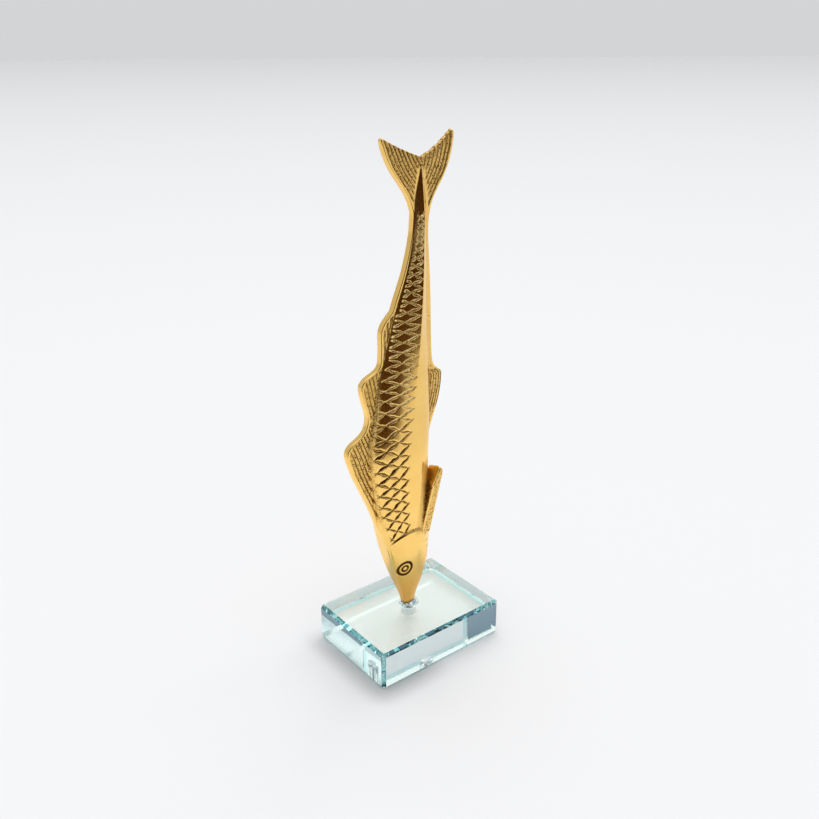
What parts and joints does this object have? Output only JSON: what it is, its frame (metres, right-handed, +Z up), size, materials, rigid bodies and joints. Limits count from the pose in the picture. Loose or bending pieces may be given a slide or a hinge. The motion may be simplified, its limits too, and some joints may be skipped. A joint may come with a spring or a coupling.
{
  "type": "fish figurine",
  "caption": "Slender brass fish with scaled flanks, dorsal fins and a forked tail, standing upright on its nose on a clear rectangular glass block.",
  "frame": {"origin": "centre of the glass block's underside, on the surface that the figurine stands on", "axes": "+Z up along the fish, +X along the block's long side towards the fish's belly, +Y across the fish"},
  "size_m": [0.075, 0.055, 0.253],
  "materials": {
    "polished_brass": "polished",
    "clear_glass": "polished",
    "clear_plastic": "gloss",
    "steel_stud": "plain"
  },
  "bodies": {
    "root": {"fish_casting": "polished_brass", "glass_base": "clear_glass", "clear_bushing": "clear_plastic", "mounting_stud": "steel_stud"}
  },
  "joints": []
}
